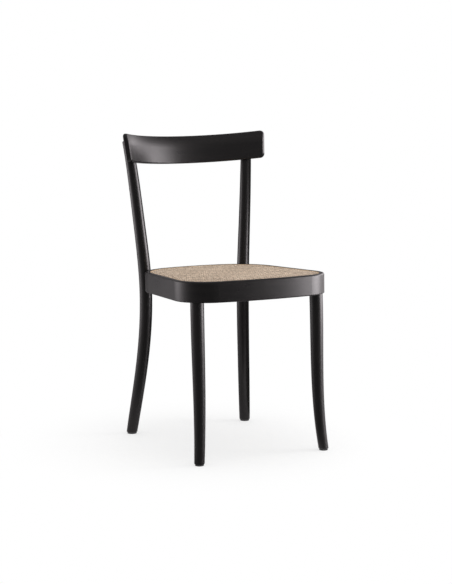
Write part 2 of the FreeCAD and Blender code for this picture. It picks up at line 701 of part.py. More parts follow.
def add_section(made):
    """The rail's section: a leaning board whose front rolls back near the top, as an arc
    tangent to the front. Reach from the curve's axis is across, height is up."""
    half = number("dims.rail_height / 2")
    low = Vector(number("dims.rail_radius - places.rail_swell"), -half, 0)
    bend = Vector(number(ROLL_REACH), number(ROLL_LEVEL), 0)
    high = Vector(number(ROLL_END), half, 0)
    back_high = Vector(number("places.rail_back + places.rail_swell"), half, 0)
    back_low = Vector(number("places.rail_back - places.rail_swell"), -half, 0)
    flare = math.radians(number("dims.rail_flare"))
    inward = Vector(math.cos(flare), -math.sin(flare), 0)
    chord = high - bend
    radius = chord.dot(chord) / (2 * chord.dot(inward))
    centre = bend + inward * radius
    start = math.atan2(high.y - centre.y, high.x - centre.x)
    roll = Part.ArcOfCircle(Part.Circle(centre, Vector(0, 0, 1), radius), start, math.pi - flare)
    made.addGeometry([
        Part.LineSegment(low, bend),
        roll,
        Part.LineSegment(high, back_high),
        Part.LineSegment(back_high, back_low),
        Part.LineSegment(back_low, low),
    ], False)
    add = made.addConstraint
    add(Sketcher.Constraint("Tangent", 0, 2, 1, 2))
    add(Sketcher.Constraint("Coincident", 1, 1, 2, 1))
    add(Sketcher.Constraint("Coincident", 2, 2, 3, 1))
    add(Sketcher.Constraint("Coincident", 3, 2, 4, 1))
    add(Sketcher.Constraint("Coincident", 4, 2, 0, 1))
    add(Sketcher.Constraint("Horizontal", 2))
    add(Sketcher.Constraint("Horizontal", 4))
    bind(made, Sketcher.Constraint("DistanceX", -1, 1, 0, 1, low.x), "front_low",
         "dims.rail_radius - places.rail_swell")
    bind(made, Sketcher.Constraint("DistanceY", 0, 1, -1, 1, half), "bottom",
         "dims.rail_height / 2")
    bind(made, Sketcher.Constraint("DistanceX", -1, 1, 0, 2, bend.x), "roll_reach", ROLL_REACH)
    bind(made, Sketcher.Constraint("DistanceY", -1, 1, 0, 2, bend.y), "roll_level", ROLL_LEVEL)
    bind(made, Sketcher.Constraint("DistanceX", -1, 1, 1, 1, high.x), "front_high", ROLL_END)
    bind(made, Sketcher.Constraint("DistanceY", -1, 1, 1, 1, half), "top",
         "dims.rail_height / 2")
    bind(made, Sketcher.Constraint("DistanceX", -1, 1, 2, 2, back_high.x), "back_high",
         "places.rail_back + places.rail_swell")
    bind(made, Sketcher.Constraint("DistanceX", -1, 1, 3, 2, back_low.x), "back_low",
         "places.rail_back - places.rail_swell")


rail_section = sketch(rail_blank, "rail_section", role="YZ_Plane")
add_section(rail_section)
bend_round = rail_blank.newObject("PartDesign::Revolution", "rail_bend")
bend_round.Profile = rail_section
bend_round.ReferenceAxis = (plane(rail_blank, "Z_Axis"), [""])
bend_round.Midplane = True
bend_round.setExpression("Angle", f"2 * {SPREAD} + 2 * dims.rail_saw_allowance")
doc.recompute()


def add_trim(made, side):
    """What is sawn off an end, seen along the curve's radius there: height is across, from
    high to low, and the way round the curve is up. The end leans out by its splay."""
    out = SIDES[side] * -1
    tall = number("dims.rail_height")
    lean = number(TRIM_LEAN)
    corners = [Vector(-tall, out * lean, 0), Vector(tall, -out * lean, 0),
               Vector(tall, out * tall, 0), Vector(-tall, out * tall, 0)]
    made.addGeometry([Part.LineSegment(corners[i], corners[(i + 1) % 4]) for i in range(4)],
                     False)
    add = made.addConstraint
    for i in range(4):
        add(Sketcher.Constraint("Coincident", i, 2, (i + 1) % 4, 1))
    add(Sketcher.Constraint("Vertical", 1))
    add(Sketcher.Constraint("Vertical", 3))
    add(Sketcher.Constraint("Horizontal", 2))
    add(Sketcher.Constraint("Symmetric", 0, 1, 0, 2, -1, 1))
    bind(made, Sketcher.Constraint("DistanceX", 0, 1, 0, 2, 2 * tall), "tall",
         "2 * dims.rail_height")
    first, last = ((0, 2), (0, 1)) if out > 0 else ((0, 1), (0, 2))
    bind(made, Sketcher.Constraint("DistanceY", *first, *last, 2 * lean), "lean",
         f"2 * {TRIM_LEAN}")
    ends = ((-1, 1), (2, 1)) if out > 0 else ((2, 1), (-1, 1))
    bind(made, Sketcher.Constraint("DistanceY", *ends[0], *ends[1], tall), "outer",
         "dims.rail_height")


for side in SIDES:
    trim = sketch(rail_blank, f"trim_{side}",
                  offset=outward(shift("0", "0", "0"), "0", "0", "0",
                                 heading(side, f"90 - {SPREAD}"), "0"))
    add_trim(trim, side)
    pocket(rail_blank, trim, "2 * places.rail_back", reverse=True)


def end_corner(edge):
    """A test for the short straight edges at the four corners of the rail's ends."""
    height = number("dims.rail_height") / 2
    flat = all(abs(abs(vertex.Z) - height) < NEAR for vertex in edge.Vertexes)
    return flat and edge.Length < 2 * number("dims.rail_thickness")


fillet(rail_blank, "dims.rail_corner", end_corner)
bent = ("Part::GeomCone", "Part::GeomToroid")
borders = [edge.hashCode() for face in rail_blank.Tip.Shape.Faces
           if face.Surface.TypeId in bent for edge in face.Edges]
fillet(rail_blank, "dims.rail_round", lambda edge: borders.count(edge.hashCode()) == 1)
rail_pilots = []
for side in SIDES:
    rail_angle = heading(side, "places.post_heading")
    for height in ("dims.rail_screw_high", "dims.rail_screw_low"):
        rail_pilots.append(cylinder(
            f"rail_pilot_{side}",
            outward(RAIL, "0", "0", height, rail_angle,
                    "places.plug_seat - places.rail_screw_length - dims.fit_gap"),
            "dims.screw_radius + dims.fit_gap", "places.rail_screw_length"))
nodes.append(cut("back_rail", rail_blank, rail_pilots))

# Corner blocks: hardwood segments glued and screwed inside the ring's front corners.
for side in SIDES:
    block = body(f"corner_block_{side}", SEAT)
    slab = sketch(block, f"block_outline_{side}", offset=(
        f"placement(vector({mirrored(side, 'dims.front_corner_x')}; -dims.front_corner_y;"
        " -dims.ring_height);"
        f" rotation(vector(0; 0; 1); {heading(side, '-dims.front_leg_angle')}))"))
    reach = "dims.front_corner_radius - dims.ring_width - dims.glue_gap"
    block_r, chord = number(reach), number("places.block_chord")
    open_angle = math.acos(chord / block_r)
    ends = [Vector(chord, sign * block_r * math.sin(open_angle), 0) for sign in (-1, 1)]
    circle = Part.Circle(Vector(0, 0, 0), Vector(0, 0, 1), block_r)
    slab.addGeometry([Part.ArcOfCircle(circle, -open_angle, open_angle),
                      Part.LineSegment(ends[1], ends[0])], False)
    slab.addConstraint(Sketcher.Constraint("Coincident", 0, 3, -1, 1))
    slab.addConstraint(Sketcher.Constraint("Coincident", 0, 2, 1, 1))
    slab.addConstraint(Sketcher.Constraint("Coincident", 1, 2, 0, 1))
    slab.addConstraint(Sketcher.Constraint("Vertical", 1))
    bind(slab, Sketcher.Constraint("Radius", 0, block_r), "reach", reach)
    bind(slab, Sketcher.Constraint("DistanceX", -1, 1, 0, 1, chord), "chord", "places.block_chord")
    pad(block, slab, "dims.block_height")
    socket = sketch(block, f"block_socket_{side}", "-dims.ring_height")
    add_circle(socket, "hole", "dims.tenon_radius + dims.fit_gap",
               mirrored(side, "places.front_leg_x"), "places.front_leg_s")
    pocket(block, socket, "dims.tenon_length + dims.fit_gap", reverse=True)
    for turn in ("-1", "0", "1"):
        hole = ring_face(block, f"block_hole_{side}", side, "front",
                         "-dims.front_leg_angle", "-places.block_screw_level")
        add_circle(hole, "hole", "dims.screw_radius + dims.fit_gap",
                   f"{turn} * dims.block_screw_spread")
        pocket(block, hole, "dims.front_corner_radius", reverse=True)
    nodes.append(block)


def wood_screw(name, place, length):
    """A pan-headed, slotted wood screw: the head's underside at the place, the shank going
    the other way from the place's z axis when the place looks out of the hole."""
    head = cylinder(f"{name}_head", shift("0", "0", "0"),
                    "dims.screw_head_radius", "dims.screw_head_height")
    shank = cylinder(f"{name}_shank", shift("0", "0", f"dims.screw_tip - {length}"),
                     "dims.screw_radius", f"{length} - dims.screw_tip")
    tip = primitive("Part::Cone", f"{name}_tip", shift("0", "0", f"-{length}"),
                    Radius1="dims.screw_tip_radius", Radius2="dims.screw_radius",
                    Height="dims.screw_tip")
    whole = join("Part::MultiFuse", f"{name}_whole", [head, shank, tip])
    slot = primitive("Part::Box", f"{name}_slot",
                     shift("-dims.screw_head_radius", "-dims.screw_slot / 2",
                           "dims.screw_head_height / 2"),
                     Length="2 * dims.screw_head_radius", Width="dims.screw_slot",
                     Height="dims.screw_head_height")
    screw = cut(name, whole, [slot])
    screw.setExpression("Placement", place)
    return screw


def turned_back(place):
    """The same place with its z axis pointing the other way."""
    return f"{place} * placement(vector(0; 0; 0); rotation(vector(1; 0; 0); 180))"


tenon_screws, block_screws = [], []
for side in SIDES:
    for turn in ("-1", "0", "1"):
        place = turned_back(outward(
            SEAT, mirrored(side, "dims.front_corner_x"), "-dims.front_corner_y",
            "-places.block_screw_level", heading(side, "-dims.front_leg_angle"),
            "places.block_chord", f"{turn} * dims.block_screw_spread"))
        group = tenon_screws if turn == "0" else block_screws
        group.append(wood_screw(f"block_screw_{side}_{len(group)}", place,
                                "places.block_screw_length"))
nodes.append(join("Part::Compound", "front_leg_screws", tenon_screws))
nodes.append(join("Part::Compound", "corner_block_screws", block_screws))

# Rear leg fastenings: a hexagon bolt and washer inside the ring, and a threaded insert in
# the leg, twice on each side.
bolts, washers, inserts = [], [], []
for side in SIDES:
    for depth in ("dims.bolt_level_high", "places.bolt_level_low"):
        def at(distance, side=side, depth=depth):
            return outward(SEAT, mirrored(side, "dims.rear_corner_x"), "dims.rear_corner_y",
                           f"-{depth}", heading(side, "dims.rear_leg_angle"), distance)

        washer_seat = "dims.rear_corner_radius - dims.ring_width + dims.spot_face_depth"
        head_seat = f"{washer_seat} - dims.washer_thickness"
        name = f"{side}_{len(bolts)}"
        head = primitive("Part::Prism", f"bolt_head_{name}",
                         at(f"{head_seat} - dims.bolt_head_height"),
                         Circumradius="dims.bolt_head_width / 2 / cos(30)",
                         Height="dims.bolt_head_height")
        head.Polygon = 6
        shank = cylinder(f"bolt_shank_{name}", at(head_seat), "dims.bolt_radius",
                         "places.bolt_length")
        bolts.append(join("Part::MultiFuse", f"bolt_{name}", [head, shank]))
        disc = cylinder(f"washer_disc_{name}", at(head_seat), "dims.washer_radius",
                        "dims.washer_thickness")
        bore = cylinder(f"washer_bore_{name}", at(head_seat),
                        "dims.bolt_radius + 2 * dims.fit_gap", "dims.washer_thickness")
        washers.append(cut(f"washer_{name}", disc, [bore]))
        sleeve_seat = "dims.rear_corner_radius + dims.insert_setback"
        sleeve = cylinder(f"insert_sleeve_{name}", at(sleeve_seat), "dims.insert_radius",
                          "dims.insert_length")
        thread = cylinder(f"insert_thread_{name}", at(sleeve_seat),
                          "dims.bolt_radius + dims.fit_gap", "dims.insert_length")
        inserts.append(cut(f"insert_{name}", sleeve, [thread]))
nodes.append(join("Part::Compound", "rear_leg_bolts", bolts))
nodes.append(join("Part::Compound", "rear_leg_washers", washers))
nodes.append(join("Part::Compound", "rear_leg_inserts", inserts))

# Back rail fastenings: two screws through each post, hidden under wooden plugs that are
# trimmed flush with the round post.
rail_screws, plugs = [], []
for side in SIDES:
    rail_angle = heading(side, "places.post_heading")
    for height in ("dims.rail_screw_high", "dims.rail_screw_low"):
        name = f"{side}_{len(plugs)}"
        place = outward(RAIL, "0", "0", height, rail_angle, "places.plug_seat")
        rail_screws.append(wood_screw(f"rail_screw_{name}", place, "places.rail_screw_length"))
        peg = cylinder(f"plug_peg_{name}",
                       outward(RAIL, "0", "0", height, rail_angle,
                               "places.plug_seat + dims.screw_head_height + dims.fit_gap"),
                       "dims.plug_radius", "dims.plug_blank_length")
        plug = doc.addObject("Part::Common", f"plug_{name}")
        plug.Base = doc.getObject(f"rear_leg_{side}_blank")
        plug.Tool = peg
        plugs.append(plug)
nodes.append(join("Part::Compound", "back_rail_screws", rail_screws))
nodes.append(join("Part::Compound", "back_rail_plugs", plugs))

# Glides: a moulded disc under each foot, held by a nail whose head is sunk in it.
nails = []
for place_name, (foot_x, foot_y, foot_radius) in feet.items():
    glide = body(f"glide_{place_name}", spot(CHAIR, foot_x, foot_y, "0"))
    disc = sketch(glide, f"disc_{place_name}")
    add_circle(disc, "disc", f"{foot_radius} - dims.glide_margin")
    pad(glide, disc, "dims.glide_thickness")
    fillet(glide, "dims.glide_round", level(0))
    recess = sketch(glide, f"recess_{place_name}")
    add_circle(recess, "recess", "dims.nail_head_radius + dims.fit_gap")
    pocket(glide, recess, "dims.nail_setback + dims.nail_head_height", reverse=True)
    bore = sketch(glide, f"bore_{place_name}")
    add_circle(bore, "bore", "dims.nail_radius + dims.fit_gap")
    pocket(glide, bore, "dims.glide_thickness", reverse=True)
    nodes.append(glide)
    head = cylinder(f"nail_head_{place_name}", spot(CHAIR, foot_x, foot_y, "dims.nail_setback"),
                    "dims.nail_head_radius", "dims.nail_head_height")
    shank = cylinder(f"nail_shank_{place_name}",
                     spot(CHAIR, foot_x, foot_y, "dims.nail_setback"),
                     "dims.nail_radius", "dims.nail_length")
    nails.append(join("Part::MultiFuse", f"nail_{place_name}", [head, shank]))
nodes.append(join("Part::Compound", "glide_nails", nails))

doc.recompute()

failed = [item.Label for item in doc.Objects
          if any(state in ("Invalid", "Error") for state in item.State)]
if failed:
    raise RuntimeError(f"objects that failed: {failed}")
for node in nodes:
    if node.Shape.isNull() or not node.Shape.isValid():
        raise RuntimeError(f"{node.Label} has no valid shape")

os.makedirs("parts", exist_ok=True)
for node in nodes:
    node.Shape.exportStep(f"parts/{node.Label}.step")
    box = node.Shape.BoundBox
    print(f"{node.Label:22s} solids {len(node.Shape.Solids)} volume {node.Shape.Volume:10.0f}"
          f" y {box.YMin:7.1f} {box.YMax:7.1f} z {box.ZMin:6.1f} {box.ZMax:6.1f}")
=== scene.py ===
"""The looks of a bentwood bistro chair: black-stained beech, a woven cane seat, a studio sweep."""
import bpy
import math
import numpy as np
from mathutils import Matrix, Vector


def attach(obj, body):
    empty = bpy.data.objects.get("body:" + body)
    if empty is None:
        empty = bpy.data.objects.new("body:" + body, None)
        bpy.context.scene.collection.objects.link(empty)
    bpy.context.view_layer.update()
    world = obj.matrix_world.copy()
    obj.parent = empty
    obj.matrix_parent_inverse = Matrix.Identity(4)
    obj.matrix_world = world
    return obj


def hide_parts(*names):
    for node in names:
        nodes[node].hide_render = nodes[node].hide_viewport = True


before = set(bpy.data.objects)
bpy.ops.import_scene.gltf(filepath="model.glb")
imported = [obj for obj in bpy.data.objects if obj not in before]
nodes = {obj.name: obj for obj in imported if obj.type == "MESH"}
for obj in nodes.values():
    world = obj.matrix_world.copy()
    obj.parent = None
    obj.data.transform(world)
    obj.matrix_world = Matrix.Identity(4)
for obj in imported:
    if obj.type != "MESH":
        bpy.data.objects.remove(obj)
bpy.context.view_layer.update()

# Seat ring: one beech strip, steamed and bent round, its ends scarfed together at the rear.
# Its grain runs round the seat. Black water stain under two coats of satin lacquer, so the
# pores show only where light glances along them.
STAIN = (0.0050, 0.0045, 0.0046, 1)
STAIN_WORN = (0.0085, 0.0074, 0.0070, 1)
WORN_FROM = 0.35
WORN_TO = 0.70
LACQUER_ROUGHNESS = 0.30
LACQUER_IOR = 1.5
LACQUER_HAZE = 0.10
FIGURE_HAZE = 0.07
FIGURE_RELIEF = 0.8
PORE_STRENGTH = 0.2
PORE_DEPTH = 0.00008
# Each noise: how many blotches to a metre, how many finer levels, and how strong those are.
PORES = ((34, 900, 900), 2.0, 0.55)
FIGURE = ((5, 120, 120), 3.0, 0.6)
CLOUD = (22.0, 3.0, 0.5)
SEAT_TILT = math.radians(1.8)
SEAT_CENTRE = (0, -0.032, 0.43)
SEAT_SQUARENESS = 3.6
GRAIN_RADIUS = 0.2


def feed(tree, entry, value):
    """Links another node's output to an input, or sets the input to a number or a colour."""
    if isinstance(value, bpy.types.NodeSocket):
        tree.links.new(value, entry)
    else:
        entry.default_value = value


def settle(tree, made, **settings):
    """Sets a node up. A setting that the node itself has is set on it, and any other is fed
    to the input of that name."""
    for name, value in settings.items():
        if hasattr(made, name):
            setattr(made, name, value)
        else:
            feed(tree, made.inputs[name.replace("_", " ")], value)
    return made


def node(tree, kind, **settings):
    """A new shader node, set up."""
    return settle(tree, tree.nodes.new(kind), **settings)


def maths(tree, operation, *values):
    """The result of a Math node on one or two numbers or outputs."""
    made = node(tree, "ShaderNodeMath", operation=operation)
    for entry, value in zip(made.inputs, values):
        feed(tree, entry, value)
    return made.outputs[0]


def swing(tree, mask, amount):
    """A mask from 0 to 1 as a swing about nought, amount wide."""
    return maths(tree, "MULTIPLY", maths(tree, "SUBTRACT", mask, 0.5), amount)


def split(tree, vector):
    """The three numbers of a vector."""
    return node(tree, "ShaderNodeSeparateXYZ", Vector=vector).outputs


def join(tree, *values):
    """A vector of two or three numbers."""
    made = node(tree, "ShaderNodeCombineXYZ")
    for entry, value in zip(made.inputs, values):
        feed(tree, entry, value)
    return made.outputs[0]


def noise(tree, vector, count, levels, strength):
    """Noise with about count blotches to a unit of the vector, and finer ones on them."""
    return node(tree, "ShaderNodeTexNoise", Vector=vector, Scale=count, Detail=levels,
                Roughness=strength).outputs["Fac"]


def drawn_out(tree, vector, counts, levels, strength):
    """Noise with a count of its own along each axis of the vector, so its blotches are long
    where the count is low."""
    counted = node(tree, "ShaderNodeVectorMath", operation="MULTIPLY", Vector=vector)
    counted.inputs[1].default_value = counts
    return noise(tree, counted.outputs[0], 1.0, levels, strength)


def mixed(tree, mask, first, second):
    """A colour that goes from the first to the second as the mask goes from 0 to 1."""
    return node(tree, "ShaderNodeMix", data_type="RGBA", Factor=mask, A=first,
                B=second).outputs["Result"]


def relief(tree, height, strength, depth):
    """The normal of a surface with that height on it."""
    return node(tree, "ShaderNodeBump", Strength=strength, Distance=depth,
                Height=height).outputs["Normal"]


def new_finish(name):
    """A new material, its node tree and its Principled shader."""
    material = bpy.data.materials.new(name)
    material.use_nodes = True
    return material, material.node_tree, material.node_tree.nodes["Principled BSDF"]


def place_on_chair(tree):
    """Where a point of the surface is, in metres."""
    return node(tree, "ShaderNodeTexCoord").outputs["Object"]


def stained_grain():
    """Grain of lacquered, stained beech. Along is in metres with x along the grain. Fine pores
    are noise stretched some twenty times along x, the figure is a broader noise stretched the
    same way, and cloudiness of the lacquer is plain noise. The colour goes from the stain to
    its worn tone with the figure. The roughness is the gloss plus swings of the cloudiness and
    the figure, and the normal's height is the pores plus a share of the figure."""
    tree = bpy.data.node_groups.new("stained_grain", "ShaderNodeTree")
    for name, kind in (("Along", "Vector"), ("Stain", "Color"), ("Worn", "Color"),
                       ("Gloss", "Float")):
        tree.interface.new_socket(name, in_out="INPUT", socket_type="NodeSocket" + kind)
    for name, kind in (("Colour", "Color"), ("Roughness", "Float"), ("Normal", "Vector")):
        tree.interface.new_socket(name, in_out="OUTPUT", socket_type="NodeSocket" + kind)
    given = node(tree, "NodeGroupInput").outputs
    pores = drawn_out(tree, given["Along"], *PORES)
    figure = drawn_out(tree, given["Along"], *FIGURE)
    cloud = noise(tree, given["Along"], *CLOUD)
    streaks = node(tree, "ShaderNodeMapRange", Value=figure, From_Min=WORN_FROM, From_Max=WORN_TO)
    haze = maths(tree, "ADD", swing(tree, cloud, LACQUER_HAZE), swing(tree, figure, FIGURE_HAZE))
    height = maths(tree, "ADD", pores, maths(tree, "MULTIPLY", figure, FIGURE_RELIEF))
    node(tree, "NodeGroupOutput",
         Colour=mixed(tree, streaks.outputs["Result"], given["Stain"], given["Worn"]),
         Roughness=maths(tree, "ADD", given["Gloss"], haze),
         Normal=relief(tree, height, PORE_STRENGTH, PORE_DEPTH))
    return tree


GRAIN = stained_grain()


def stained_beech(name, along):
    """Black-stained beech. along(tree, place) gives the vector that follows the grain."""
    material, tree, shader = new_finish(name)
    grain = node(tree, "ShaderNodeGroup", node_tree=GRAIN, Along=along(tree, place_on_chair(tree)),
                 Stain=STAIN, Worn=STAIN_WORN, Gloss=LACQUER_ROUGHNESS).outputs
    settle(tree, shader, IOR=LACQUER_IOR, Base_Color=grain["Colour"],
           Roughness=grain["Roughness"], Normal=grain["Normal"])
    return material


def finish_nodes(material, *names):
    """Gives CAD nodes their finish."""
    for name in names:
        for place in nodes[name].material_slots:
            place.material = material


def round_the_seat(tree, place):
    """In the seat's own tipped plane: x is the angle round the seat times the grain's radius,
    cut open at the rear, y how far out a point is in a rounded square, which is the root of
    the summed powers of its sides, and z its height."""
    seat = node(tree, "ShaderNodeMapping", vector_type="TEXTURE", Vector=place,
                Location=SEAT_CENTRE, Rotation=(-SEAT_TILT, 0, 0))
    x, y, z = split(tree, seat.outputs[0])
    turn = maths(tree, "ARCTAN2", x, maths(tree, "MULTIPLY", y, -1.0))
    powers = [maths(tree, "POWER", maths(tree, "ABSOLUTE", side), SEAT_SQUARENESS)
              for side in (x, y)]
    out = maths(tree, "POWER", maths(tree, "ADD", *powers), 1 / SEAT_SQUARENESS)
    return join(tree, maths(tree, "MULTIPLY", turn, GRAIN_RADIUS), out, z)


finish_nodes(stained_beech("ring_beech", round_the_seat), "seat_ring")

# Cane panel: half-inch machine-woven rattan cane. Pairs of strands run from front to rear and
# from side to side, and single strands cross them both ways on the diagonal, which leaves the
# eight-sided holes. Its edge is pressed into the ring's groove and held by the reed.
SEAT_LEVEL = 0.460
SEAT_SHIFT = -0.01641
SEAT_REACH = 0.25
PANEL_MIDDLE = -0.02
PITCH = 0.0127
PAIR_HALF = 0.00142
PAIR_STEP = PITCH / 9
DIAGONAL_STEP = PITCH / 8
DIAGONAL = math.sqrt(0.5)
STRAND_WIDTH = 0.0024
STRAND_THICKNESS = 0.00085
STRAND_ACROSS = STRAND_WIDTH / 2 * np.array((-1.0, -0.62, 0.0, 0.62, 1.0))
STRAND_UP = STRAND_THICKNESS * np.array((0.12, 0.82, 1.0, 0.82, 0.12))
STRAND_CORNERS = len(STRAND_ACROSS)
SHORTEST_STRAND = 0.012
TUCK = 0.0005
END_ROOM = 0.3
WANDER = 0.00010
WANDER_RATE = 31
WANDER_PHASES = 6.28
UNEVEN = 0.00005
RUN_STARTS = 9
WEAVE_LEVEL = -0.00235
WEAVE_RISE = 0.00050
DIAGONAL_RISE = 2.1 * WEAVE_RISE
CANE_DARK = (0.31, 0.234, 0.169, 1)
CANE_LIGHT = (0.79, 0.64, 0.50, 1)
CANE_DARK_AT = 0.30
CANE_LIGHT_AT = 0.76
CANE_ROUGHNESS = 0.38
CANE_IOR = 1.45
BLOTCHES_ALONG = 14.0
BLOTCHES_APART = 40.0
BLOTCH = (1.0, 4.0, 0.6)
TONE_SHARE = 0.35
BLOTCH_SHARE = 0.75
rng = np.random.default_rng(7)


def seat_to_room(points):
    """From the seat's own plane, x across, y back and z up from it, to the room: a turn by
    the seat's tilt about the x axis, then a shift to the front and a lift to its level."""
    x, y, z = np.moveaxis(points, -1, 0)
    cos, sin = math.cos(SEAT_TILT), math.sin(SEAT_TILT)
    return np.stack([x, y * cos + z * sin + SEAT_SHIFT, SEAT_LEVEL - y * sin + z * cos], -1)


def mesh_piece(name, points, faces, smooth=True, **marks):
    """A mesh object from an array of points and arrays of faces, one array for each number
    of corners. Each mark is an attribute, with a number for every point."""
    mesh = bpy.data.meshes.new(name)
    mesh.from_pydata(points.reshape(-1, 3), [], [face for kind in faces for face in kind.tolist()])
    mesh.polygons.foreach_set("use_smooth", np.full(len(mesh.polygons), smooth))
    mesh.update()
    for label, values in marks.items():
        mesh.attributes.new(label, "FLOAT", "POINT").data.foreach_set("value", values)
    piece = bpy.data.objects.new(name, mesh)
    bpy.context.scene.collection.objects.link(piece)
    return piece


def cane_edge():
    """The panel's outline in the seat's plane, from the CAD panel's own corners, in order
    of their angle round the panel's middle."""
    mesh = nodes["cane_panel"].data
    points = np.empty(len(mesh.vertices) * 3)
    mesh.vertices.foreach_get("co", points)
    x, y, _ = points.reshape(-1, 3).T
    flat = np.stack([x, (y - SEAT_SHIFT) / math.cos(SEAT_TILT)], -1)
    return flat[np.argsort(np.arctan2(flat[:, 1] - PANEL_MIDDLE, flat[:, 0]))]


EDGE = cane_edge()


def spans(direction, offsets):
    """Where straight lines with that direction cross the outline. A line's offset is its
    distance from the origin to its left; the start and the end are distances along it."""
    along = np.array(direction)
    left = np.array((-along[1], along[0]))
    a, b = EDGE, np.roll(EDGE, -1, 0)
    side_a = (a @ left)[None] - offsets[:, None]
    side_b = (b @ left)[None] - offsets[:, None]
    crossed = side_a * side_b < 0
    with np.errstate(divide="ignore", invalid="ignore"):
        part = side_a / (side_a - side_b)
    run = (a @ along)[None] + part * ((b - a) @ along)[None]
    start = np.where(crossed, run, np.inf).min(1)
    end = np.where(crossed, run, -np.inf).max(1)
    return start, end


def weave(name, direction, offsets, step, rise):
    """One set of parallel strands. Each is a rounded band carried along a straight line in
    the seat's plane, whose height is rise(distance along, offset, number), and its closed
    ends are tucked past the outline, inside the reed. It wanders sideways by a slow sine. Its
    marks are run, the distance along in metres, and tone, a random number for each strand."""
    direction = np.array(direction, float)
    left = np.array((-direction[1], direction[0]))
    corner = np.arange(STRAND_CORNERS)
    points, faces, ends, run, tone, first = [], [], [], [], [], 0
    for number, (offset, low, high) in enumerate(zip(offsets, *spans(direction, offsets))):
        if not high - low > SHORTEST_STRAND:
            continue
        low, high = low - TUCK, high + TUCK
        inner = step * np.arange(math.ceil(low / step + END_ROOM),
                                 math.floor(high / step - END_ROOM) + 1)
        s = np.concatenate([[low], inner, [high]])
        phase = rng.uniform(0, WANDER_PHASES)
        drift = WANDER * np.sin(s * WANDER_RATE + phase) + rng.normal(0, UNEVEN)
        centre = s[:, None] * direction + (offset + drift)[:, None] * left
        band = np.empty((len(s), STRAND_CORNERS, 3))
        band[:, :, :2] = centre[:, None] + STRAND_ACROSS[:, None] * left
        band[:, :, 2] = (WEAVE_LEVEL + rise(s, offset, number))[:, None] + STRAND_UP
        points.append(band.reshape(-1, 3))
        row = first + STRAND_CORNERS * np.arange(len(s))[:, None]
        here, beside = row + corner, row + (corner + 1) % STRAND_CORNERS
        sides = np.stack([here[:-1], beside[:-1], beside[1:], here[1:]], -1)
        faces.append(sides.reshape(-1, 4))
        ends.append(np.array((here[0, ::-1], here[-1])))
        run.append(np.repeat(s + rng.uniform(0, RUN_STARTS), STRAND_CORNERS))
        tone.append(np.full(len(points[-1]), rng.uniform(0, 1)))
        first += len(points[-1])
    return mesh_piece(name, seat_to_room(np.concatenate(points)),
                      [np.concatenate(faces), np.concatenate(ends)],
                      run=np.concatenate(run), tone=np.concatenate(tone))


def over_pairs(s, side):
    """Height of a strand that goes over one strand of each crossing pair and under the other:
    a smooth hump and dip about every crossing, side -1 or 1 telling which comes first."""
    near = (s + PITCH / 2) % PITCH - PITCH / 2
    x = near / PAIR_HALF
    return side * WEAVE_RISE * x * np.exp(0.5 - 0.5 * x * x)


def over_diagonals(across, sign):
    """Height of a diagonal strand at a place across the seat, over one set of pairs and
    under the other: for sign 1, a cosine that is highest at the pairs from front to rear."""
    return sign * DIAGONAL_RISE * np.cos(2 * np.pi * across / PITCH)


def pairs(reach):
    """Offsets of paired strands, two about each whole pitch within reach of the middle."""
    whole = np.arange(math.ceil(-reach / PITCH), math.floor(reach / PITCH) + 1) * PITCH
    return (whole[:, None] + np.array((-PAIR_HALF, PAIR_HALF))).ravel()


def halves(reach):
    """Offsets of diagonal strands, half-way between crossings, within reach of the middle."""
    spacing = PITCH / math.sqrt(2)
    return (np.arange(math.ceil(-reach / spacing), math.floor(reach / spacing)) + 0.5) * spacing


cane_sets = [
    weave("cane_lengthwise", (0, 1), pairs(SEAT_REACH), PAIR_STEP,
          lambda s, offset, number: over_pairs(s, 1 if number % 2 else -1)),
    weave("cane_crosswise", (1, 0), pairs(SEAT_REACH), PAIR_STEP,
          lambda s, offset, number: over_pairs(s, -1 if number % 2 else 1)),
    weave("cane_diagonal_right", (DIAGONAL, DIAGONAL), halves(2 * SEAT_REACH), DIAGONAL_STEP,
          lambda s, offset, number: over_diagonals(DIAGONAL * (s - offset), 1)),
    weave("cane_diagonal_left", (-DIAGONAL, DIAGONAL), halves(2 * SEAT_REACH), DIAGONAL_STEP,
          lambda s, offset, number: over_diagonals(DIAGONAL * (s + offset), -1)),
]


def shades(tree, mask, dark_at, dark, light_at, light):
    """A colour that is dark where the mask is at dark_at or less, light where it is at
    light_at or more, and between them goes evenly from one to the other."""
    ramp = node(tree, "ShaderNodeValToRGB", Fac=mask)
    first, second = ramp.color_ramp.elements
    first.position, first.color = dark_at, dark
    second.position, second.color = light_at, light
    return ramp.outputs["Color"]


def rattan_bark():
    """The strands' glossy bark. Each strand has its own tone, and blotches along it."""
    material, tree, shader = new_finish("cane")
    tone = node(tree, "ShaderNodeAttribute", attribute_name="tone").outputs["Fac"]
    run = node(tree, "ShaderNodeAttribute", attribute_name="run").outputs["Fac"]
    along = join(tree, maths(tree, "MULTIPLY", run, BLOTCHES_ALONG),
                 maths(tree, "MULTIPLY", tone, BLOTCHES_APART))
    blotch = noise(tree, along, *BLOTCH)
    lightness = maths(tree, "ADD", maths(tree, "MULTIPLY", tone, TONE_SHARE),
                      maths(tree, "MULTIPLY", blotch, BLOTCH_SHARE))
    settle(tree, shader, Roughness=CANE_ROUGHNESS, IOR=CANE_IOR,
           Base_Color=shades(tree, lightness, CANE_DARK_AT, CANE_DARK, CANE_LIGHT_AT, CANE_LIGHT))
    return material


bark = rattan_bark()
for piece in cane_sets:
    piece.data.materials.append(bark)
    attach(piece, "root")
    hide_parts("cane_panel")

